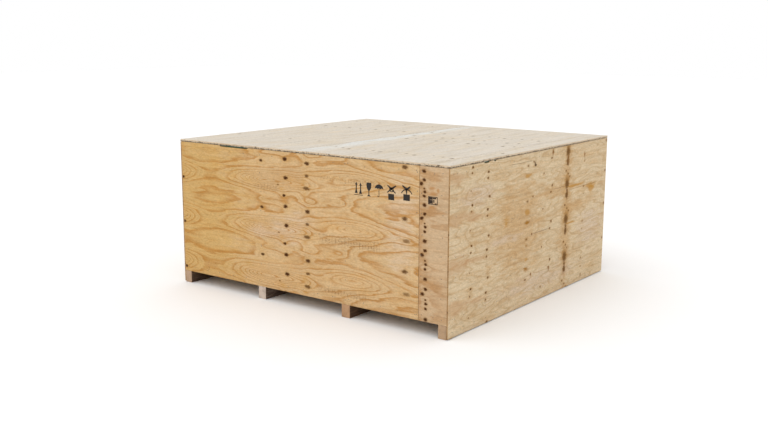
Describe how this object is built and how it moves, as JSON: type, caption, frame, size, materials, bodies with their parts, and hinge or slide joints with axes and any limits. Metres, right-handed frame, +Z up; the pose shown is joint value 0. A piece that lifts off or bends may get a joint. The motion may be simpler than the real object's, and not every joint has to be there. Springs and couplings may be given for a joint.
{
  "type": "shipping crate",
  "caption": "Plywood crate on timber skids for heavy freight, with framed walls, a boarded floor, fork pockets below and a battened lid that lifts off.",
  "frame": {"origin": "on the ground, under the middle of the crate's box", "axes": "+X along the front wall, from its left end to its right end; +Y from the front wall to the back wall, along the skids; +Z up"},
  "size_m": [2.65, 2.5, 1.21],
  "materials": {
    "front_plywood": "bare rotary-cut pine plywood, warm tan with orange grain",
    "side_plywood": "bare rotary-cut plywood, pale beige with resin streaks",
    "lid_plywood": "bare plywood, cream white with fine flecks",
    "skid_timber": "rough sawn softwood, weathered",
    "frame_timber": "rough sawn softwood",
    "floor_timber": "rough sawn softwood boards",
    "green_foam": "matte closed-cell foam strip",
    "zinc_steel": "dull zinc plating"
  },
  "bodies": {
    "crate": {"skid_left": "skid_timber", "skid_middle_left": "skid_timber", "skid_middle_right": "skid_timber", "skid_right": "skid_timber", "floor_board_01": "floor_timber", "floor_board_02": "floor_timber", "floor_board_03": "floor_timber", "floor_board_04": "floor_timber", "floor_board_05": "floor_timber", "floor_board_06": "floor_timber", "floor_board_07": "floor_timber", "floor_board_08": "floor_timber", "floor_board_09": "floor_timber", "floor_board_10": "floor_timber", "floor_board_11": "floor_timber", "front_sheet": "front_plywood", "front_strip": "front_plywood", "back_sheet": "front_plywood", "back_strip": "front_plywood", "left_sheet": "side_plywood", "right_sheet": "side_plywood", "front_top_rail": "frame_timber", "front_bottom_rail": "frame_timber", "front_stud_1": "frame_timber", "front_stud_2": "frame_timber", "front_stud_3": "frame_timber", "front_stud_4": "frame_timber", "front_stud_5": "frame_timber", "back_top_rail": "frame_timber", "back_bottom_rail": "frame_timber", "back_stud_1": "frame_timber", "back_stud_2": "frame_timber", "back_stud_3": "frame_timber", "back_stud_4": "frame_timber", "back_stud_5": "frame_timber", "left_top_rail": "frame_timber", "left_bottom_rail": "frame_timber", "left_stud_1": "frame_timber", "left_stud_2": "frame_timber", "left_stud_3": "frame_timber", "left_stud_4": "frame_timber", "right_top_rail": "frame_timber", "right_bottom_rail": "frame_timber", "right_stud_1": "frame_timber", "right_stud_2": "frame_timber", "right_stud_3": "frame_timber", "right_stud_4": "frame_timber", "lid_seal": "green_foam", "coach_screw_front_left": "zinc_steel", "coach_screw_front_right": "zinc_steel", "coach_screw_back_left": "zinc_steel", "coach_screw_back_right": "zinc_steel"},
    "lid": {"lid_sheet_left": "lid_plywood", "lid_sheet_right": "lid_plywood", "lid_strip": "lid_plywood", "lid_batten_1": "frame_timber", "lid_batten_2": "frame_timber", "lid_batten_3": "frame_timber", "lid_batten_4": "frame_timber", "lid_batten_5": "frame_timber"}
  },
  "joints": [
    {"name": "lid_lift", "type": "slide", "parent": "crate", "child": "lid", "axis": [0, 0, 1], "range_m": [0, 0.8]}
  ]
}
